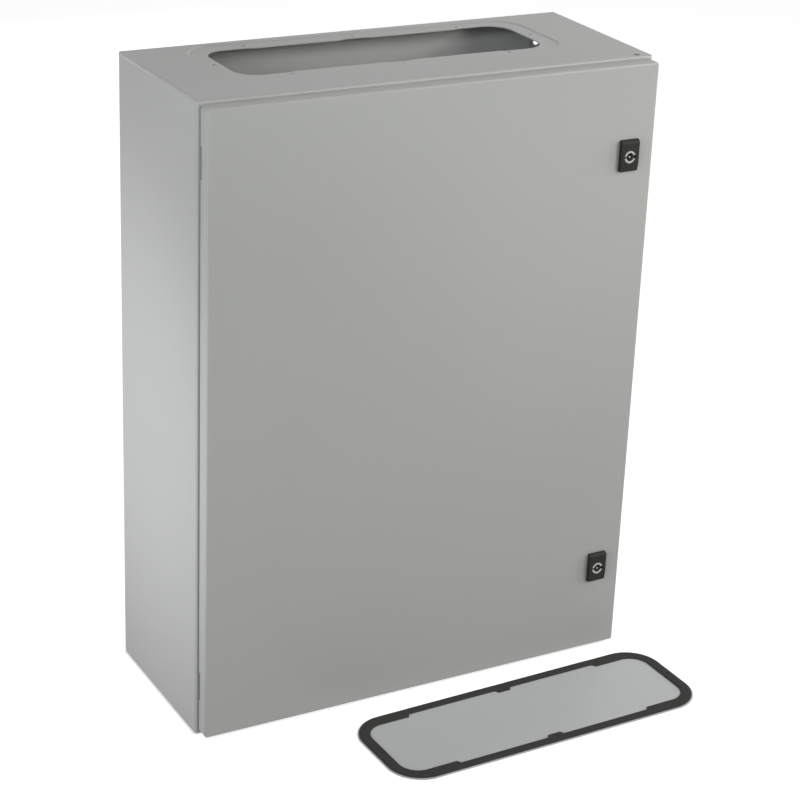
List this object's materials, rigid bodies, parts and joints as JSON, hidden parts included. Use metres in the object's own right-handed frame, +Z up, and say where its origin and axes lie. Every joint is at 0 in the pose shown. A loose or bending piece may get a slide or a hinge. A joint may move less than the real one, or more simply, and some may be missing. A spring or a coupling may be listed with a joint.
{
  "type": "wall enclosure",
  "caption": "Painted steel wall enclosure: a hinged door on quarter-turn locks closes on a sealed rim, a mounting plate stands inside, and a gasketed gland plate covers the opening in its top.",
  "frame": {"origin": "on the floor, at the centre of the enclosure's footprint, its closed door included", "axes": "+Z up, +X to the right as one faces the door, +Y from the door towards the wall"},
  "size_m": [0.6229, 0.4422, 0.8],
  "materials": {
    "body_paint": "light grey powder coat, semi-gloss, with a very fine orange peel",
    "zinc": "zinc-coated steel, satin, with a faint spangle",
    "hinge_steel": "zinc-plated steel strip, satin",
    "lock_plastic": "black glass-filled nylon with a fine spark texture",
    "die_cast": "bright nickel-plated zinc die-casting",
    "foam": "charcoal closed-cell foam, matt"
  },
  "bodies": {
    "enclosure": {"body_wrap": "body_paint", "rear_panel": "body_paint", "mounting_studs": "zinc", "mounting_sleeves": "lock_plastic", "mounting_plate": "zinc", "mounting_washers": "zinc", "mounting_nuts": "zinc", "body_earth_stud": "zinc", "body_earth_nut": "zinc", "upper_hinge_bracket": "hinge_steel", "lower_hinge_bracket": "hinge_steel", "hinge_bracket_studs": "zinc", "hinge_bracket_nuts": "zinc"},
    "door": {"door_panel": "body_paint", "door_seal": "foam", "door_rail_left": "body_paint", "door_rail_right": "body_paint", "upper_hinge_leaf": "hinge_steel", "lower_hinge_leaf": "hinge_steel", "upper_hinge_pin": "zinc", "lower_hinge_pin": "zinc", "hinge_leaf_studs": "zinc", "hinge_leaf_nuts": "zinc", "door_earth_stud": "zinc", "door_earth_nut": "zinc", "upper_lock_housing": "lock_plastic", "lower_lock_housing": "lock_plastic", "upper_lock_seal": "foam", "lower_lock_seal": "foam", "upper_lock_nut": "zinc", "lower_lock_nut": "zinc"},
    "upper_lock": {"upper_lock_barrel": "die_cast", "upper_lock_cam": "zinc", "upper_cam_screw": "zinc"},
    "lower_lock": {"lower_lock_barrel": "die_cast", "lower_lock_cam": "zinc", "lower_cam_screw": "zinc"},
    "gland_cover": {"gland_plate": "body_paint", "gland_gasket": "foam"}
  },
  "joints": [
    {"name": "door_swing", "type": "hinge", "parent": "enclosure", "child": "door", "pos_m": [-0.2915, -0.114, 0.4], "axis": [0, 0, -1], "range_deg": [0, 120]},
    {"name": "upper_lock_turn", "type": "hinge", "parent": "door", "child": "upper_lock", "pos_m": [0.25949, -0.125, 0.6825], "axis": [0, -1, 0], "range_deg": [0, 90]},
    {"name": "lower_lock_turn", "type": "hinge", "parent": "door", "child": "lower_lock", "pos_m": [0.25949, -0.125, 0.121], "axis": [0, -1, 0], "range_deg": [0, 90]},
    {"name": "gland_plate_lift", "type": "slide", "parent": "enclosure", "child": "gland_cover", "axis": [0, 0, 1], "range_m": [0, 0.1]}
  ]
}
